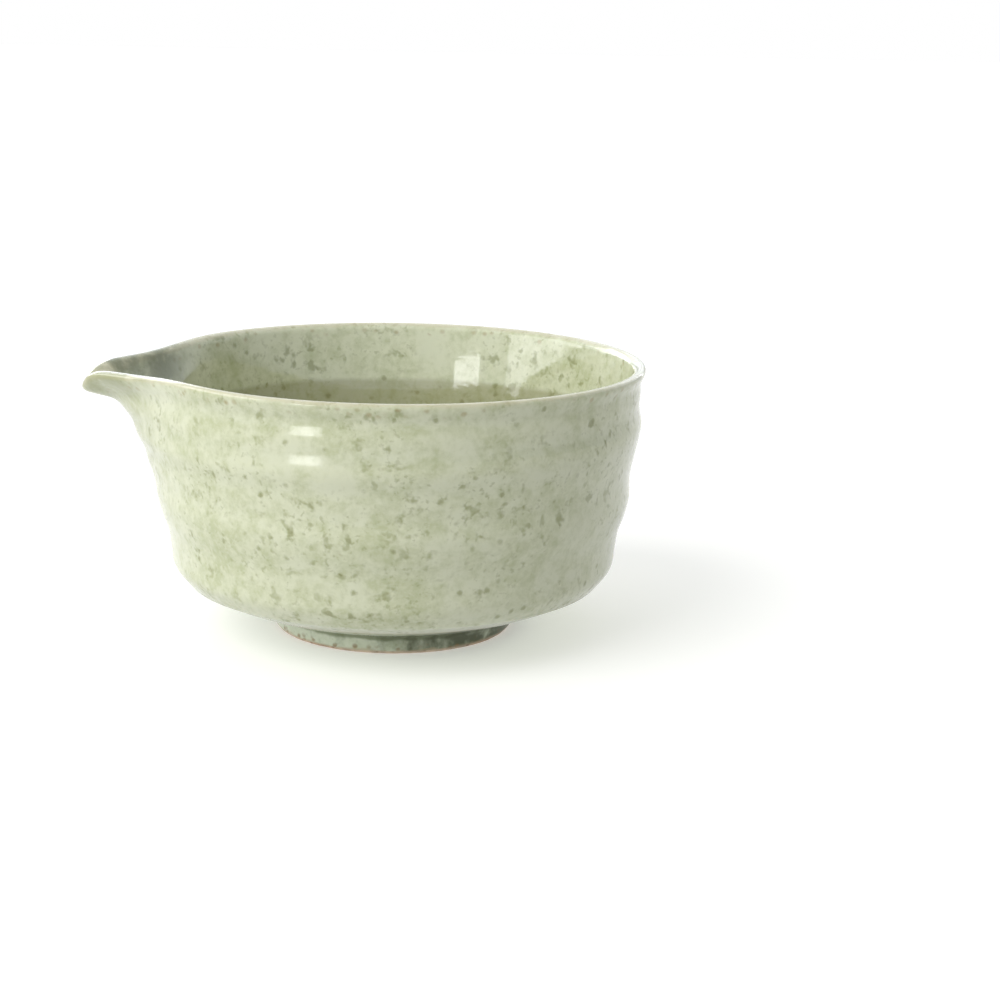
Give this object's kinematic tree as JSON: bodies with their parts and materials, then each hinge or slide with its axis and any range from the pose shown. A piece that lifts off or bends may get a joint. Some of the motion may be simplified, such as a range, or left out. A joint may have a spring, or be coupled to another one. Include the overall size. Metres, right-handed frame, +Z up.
{
  "type": "spouted tea bowl",
  "caption": "Thrown stoneware tea bowl with ribbed sides, a drawn pouring beak, a turned foot ring and a speckled celadon glaze.",
  "frame": {"origin": "on the bowl's axis, in the plane that the foot ring rests on", "axes": "+Z up out of the bowl, the beak points along -X, +Y across the bowl"},
  "size_m": [0.1518, 0.1352, 0.0735],
  "materials": {
    "wall_clay": "matte fired stoneware under the glaze",
    "beak_clay": "matte fired stoneware under the glaze",
    "foot_clay": "matte bare stoneware, toasted tan where it is unglazed",
    "beak_slip": "matte fired slip",
    "foot_slip": "matte fired slip",
    "outside_glaze": "glossy pale celadon with olive mottling and speckles",
    "inside_glaze": "glossy pale celadon with olive mottling and speckles",
    "foot_well_glaze": "glossy pale celadon, darker where it pools"
  },
  "bodies": {
    "root": {"bowl_wall": "wall_clay", "pouring_beak": "beak_clay", "foot_ring": "foot_clay", "beak_slip_joint": "beak_slip", "foot_slip_joint": "foot_slip", "outside_glaze": "outside_glaze", "inside_glaze": "inside_glaze", "foot_well_glaze": "foot_well_glaze"}
  },
  "joints": []
}
